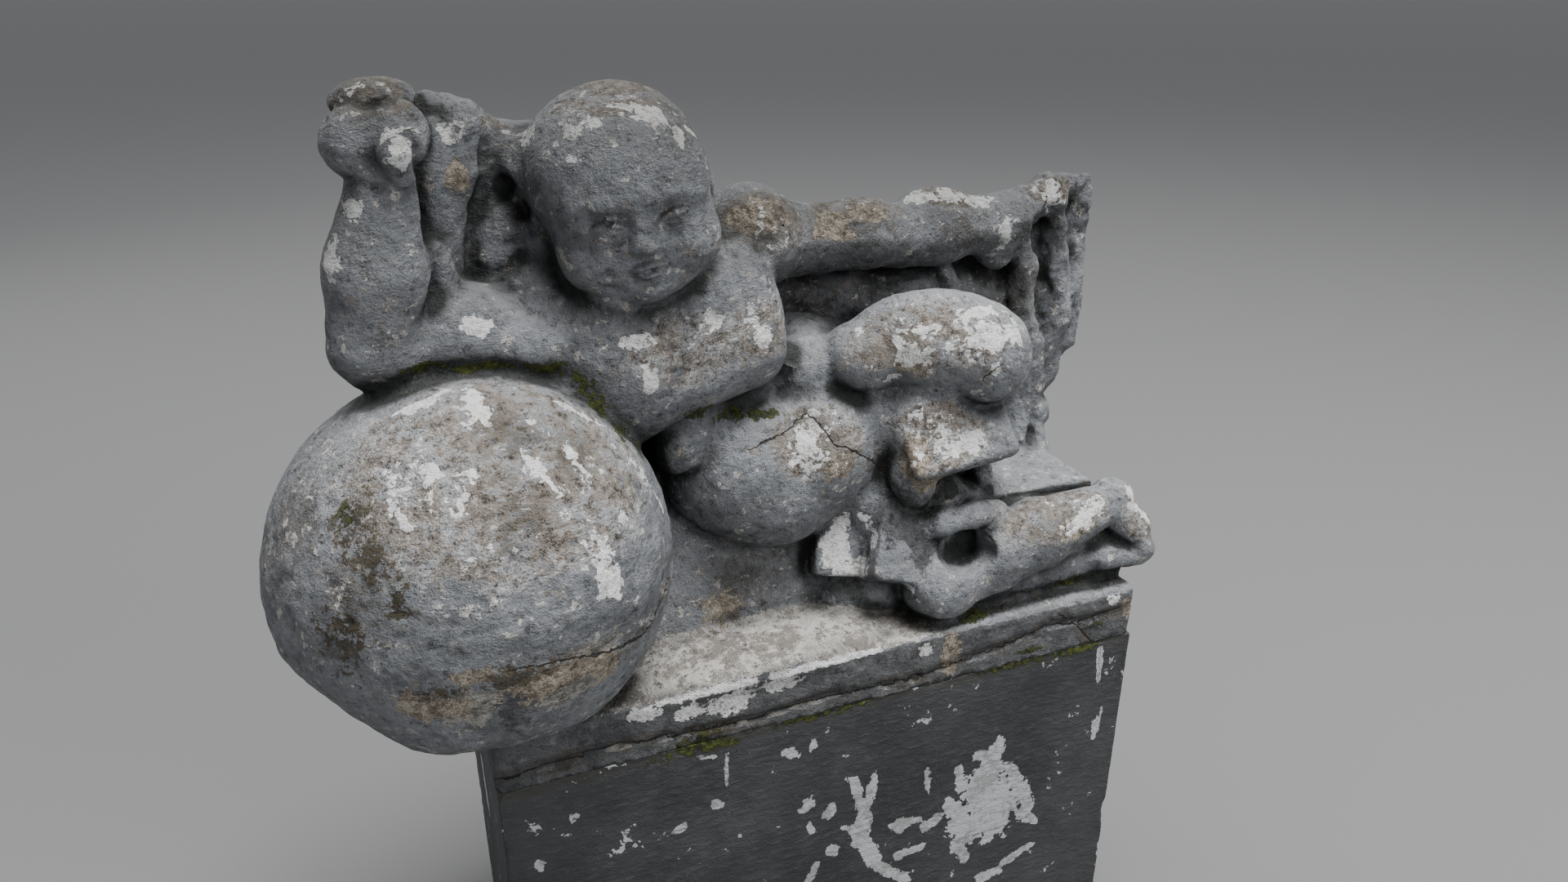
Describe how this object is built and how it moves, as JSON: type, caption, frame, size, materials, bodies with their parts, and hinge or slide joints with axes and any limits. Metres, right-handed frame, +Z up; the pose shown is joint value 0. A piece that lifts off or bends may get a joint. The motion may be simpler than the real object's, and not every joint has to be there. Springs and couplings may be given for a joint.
{
  "type": "putto statue",
  "caption": "Weathered stone putto kneeling against a globe with drapery behind, carved in one block with its plinth slab, on a painted rectangular pedestal.",
  "frame": {"origin": "middle of the pedestal's underside", "axes": "+Z up, -Y the side that the figure faces, +X towards the hanging drapery; the globe is at -X"},
  "size_m": [1.0533, 0.5012, 1.1832],
  "materials": {
    "weathered_grey_stone": "weathered paint over stone, flaking, with dirt and moss",
    "grey_painted_plaster": "dark grey paint over plastered masonry, flaking"
  },
  "bodies": {
    "root": {"putto_group": "weathered_grey_stone", "pedestal": "grey_painted_plaster"}
  },
  "joints": []
}
